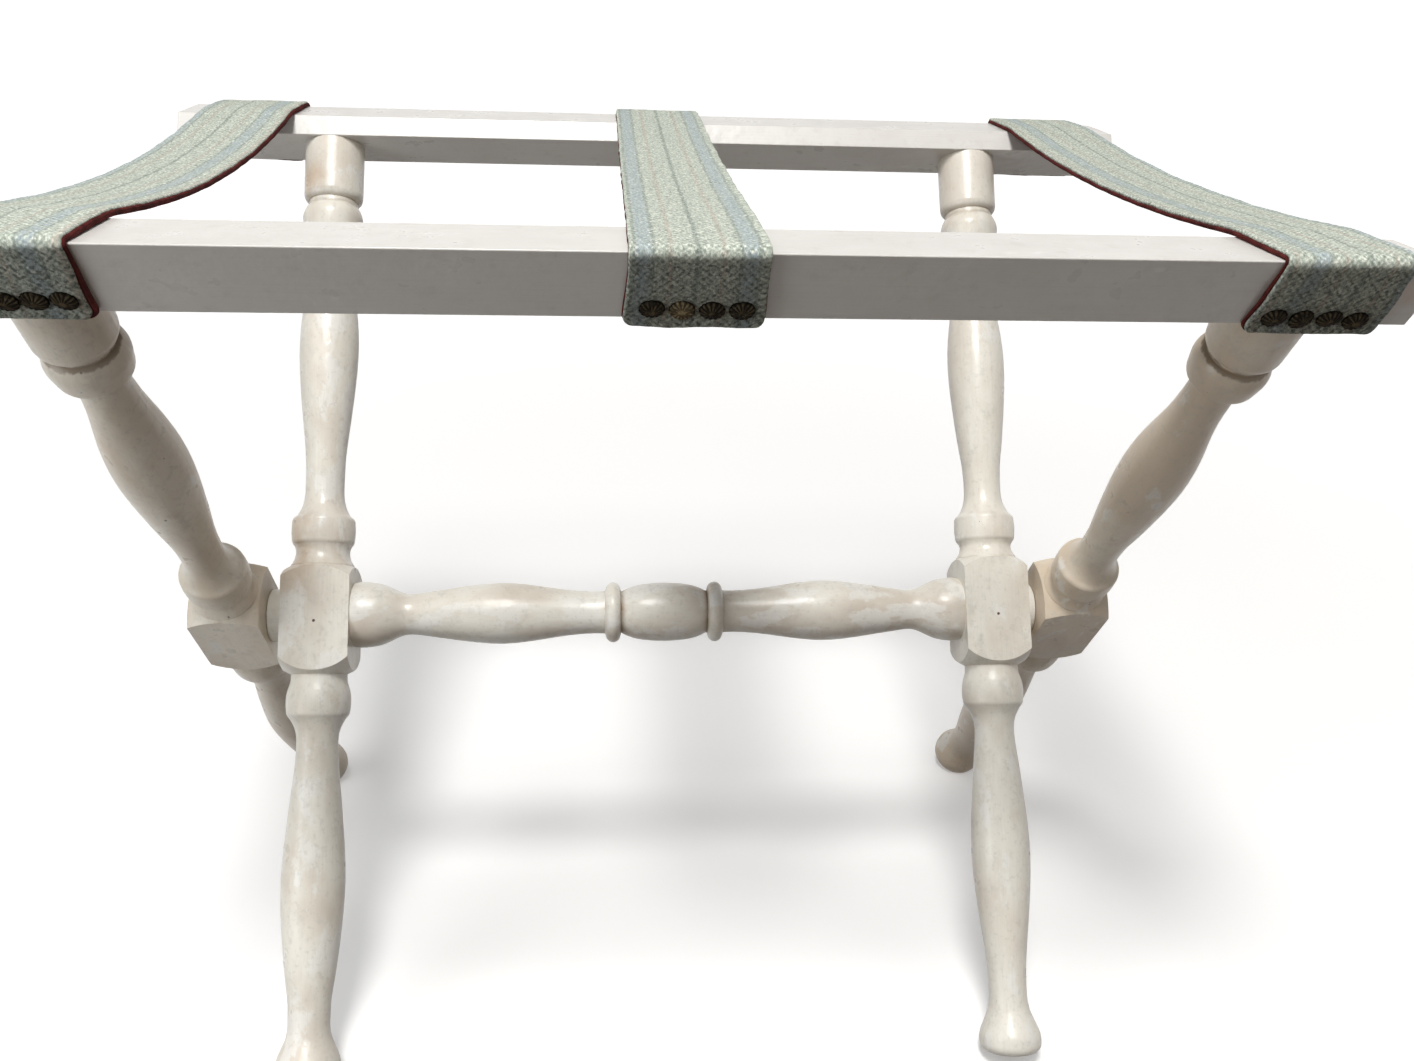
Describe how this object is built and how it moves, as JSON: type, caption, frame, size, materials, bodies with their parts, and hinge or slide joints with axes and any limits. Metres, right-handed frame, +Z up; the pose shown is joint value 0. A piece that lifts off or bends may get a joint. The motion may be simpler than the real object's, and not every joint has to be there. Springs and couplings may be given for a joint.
{
  "type": "folding luggage rack",
  "caption": "Folding luggage rack: crossed turned wooden legs pivot on a turned stretcher and carry two bevelled rails joined by nailed cloth straps.",
  "frame": {"origin": "on the floor, under the middle of the rack's bounding box", "axes": "+X along the rails to the right, +Y to the back, +Z up"},
  "size_m": [0.624, 0.4326, 0.5197],
  "materials": {
    "painted_wood": "worn off-white paint, semi-gloss",
    "tweed": "heavy woven wool",
    "red_lining": "felted cotton",
    "antique_brass": "dark antique brass",
    "iron_pin": "dull iron"
  },
  "bodies": {
    "inner_frame": {"inner_leg_left": "painted_wood", "inner_leg_right": "painted_wood", "stretcher": "painted_wood", "pivot_washer_left": "painted_wood", "pivot_washer_right": "painted_wood", "stretcher_lock_pins": "iron_pin", "back_rail": "painted_wood", "strap_left_tweed_back_end": "tweed", "strap_left_lining_back_end": "red_lining", "nails_left_back": "antique_brass", "strap_middle_tweed_back_end": "tweed", "strap_middle_lining_back_end": "red_lining", "nails_middle_back": "antique_brass", "strap_right_tweed_back_end": "tweed", "strap_right_lining_back_end": "red_lining", "nails_right_back": "antique_brass"},
    "outer_frame": {"outer_leg_left": "painted_wood", "outer_leg_right": "painted_wood", "front_rail": "painted_wood", "strap_left_tweed_front_end": "tweed", "strap_left_lining_front_end": "red_lining", "nails_left_front": "antique_brass", "strap_middle_tweed_front_end": "tweed", "strap_middle_lining_front_end": "red_lining", "nails_middle_front": "antique_brass", "strap_right_tweed_front_end": "tweed", "strap_right_lining_front_end": "red_lining", "nails_right_front": "antique_brass"},
    "strap_left_front": {"strap_left_tweed_front_span": "tweed", "strap_left_lining_front_span": "red_lining"},
    "strap_left_back": {"strap_left_tweed_back_span": "tweed", "strap_left_lining_back_span": "red_lining"},
    "strap_middle_front": {"strap_middle_tweed_front_span": "tweed", "strap_middle_lining_front_span": "red_lining"},
    "strap_middle_back": {"strap_middle_tweed_back_span": "tweed", "strap_middle_lining_back_span": "red_lining"},
    "strap_right_front": {"strap_right_tweed_front_span": "tweed", "strap_right_lining_front_span": "red_lining"},
    "strap_right_back": {"strap_right_tweed_back_span": "tweed", "strap_right_lining_back_span": "red_lining"}
  },
  "joints": [
    {"name": "fold", "type": "hinge", "parent": "inner_frame", "child": "outer_frame", "pos_m": [0, 0, 0.23671], "axis": [-1, 0, 0], "range_deg": [0, 56]},
    {"name": "strap_left_front_crease", "type": "hinge", "parent": "outer_frame", "child": "strap_left_front", "pos_m": [0, -0.15917, 0.51739], "axis": [-1, 0, 0], "range_deg": [0, 52.59], "deforming": ["strap_left_tweed_front_span", "strap_left_lining_front_span"]},
    {"name": "strap_left_middle_crease", "type": "hinge", "parent": "strap_left_front", "child": "strap_left_back", "pos_m": [0, 0.00205, 0.5079], "axis": [1, 0, 0], "range_deg": [0, 165.72], "deforming": ["strap_left_tweed_back_span", "strap_left_lining_back_span"]},
    {"name": "strap_middle_front_crease", "type": "hinge", "parent": "outer_frame", "child": "strap_middle_front", "pos_m": [0, -0.15917, 0.51792], "axis": [-1, 0, 0], "range_deg": [0, 58.53], "deforming": ["strap_middle_tweed_front_span", "strap_middle_lining_front_span"]},
    {"name": "strap_middle_middle_crease", "type": "hinge", "parent": "strap_middle_front", "child": "strap_middle_back", "pos_m": [0, 0.00175, 0.5169], "axis": [1, 0, 0], "range_deg": [0, 172], "deforming": ["strap_middle_tweed_back_span", "strap_middle_lining_back_span"]},
    {"name": "strap_right_front_crease", "type": "hinge", "parent": "outer_frame", "child": "strap_right_front", "pos_m": [0, -0.15917, 0.51762], "axis": [-1, 0, 0], "range_deg": [0, 53.99], "deforming": ["strap_right_tweed_front_span", "strap_right_lining_front_span"]},
    {"name": "strap_right_middle_crease", "type": "hinge", "parent": "strap_right_front", "child": "strap_right_back", "pos_m": [0, 0.00215, 0.5119], "axis": [1, 0, 0], "range_deg": [0, 168.5], "deforming": ["strap_right_tweed_back_span", "strap_right_lining_back_span"]}
  ],
  "couplings": [
    {"joint": "strap_left_front_crease", "follows": "fold", "ratio": 0.93898},
    {"joint": "strap_left_middle_crease", "follows": "fold", "ratio": 2.9592},
    {"joint": "strap_middle_front_crease", "follows": "fold", "ratio": 1.0449},
    {"joint": "strap_middle_middle_crease", "follows": "fold", "ratio": 3.0713},
    {"joint": "strap_right_front_crease", "follows": "fold", "ratio": 0.96395},
    {"joint": "strap_right_middle_crease", "follows": "fold", "ratio": 3.0088}
  ]
}
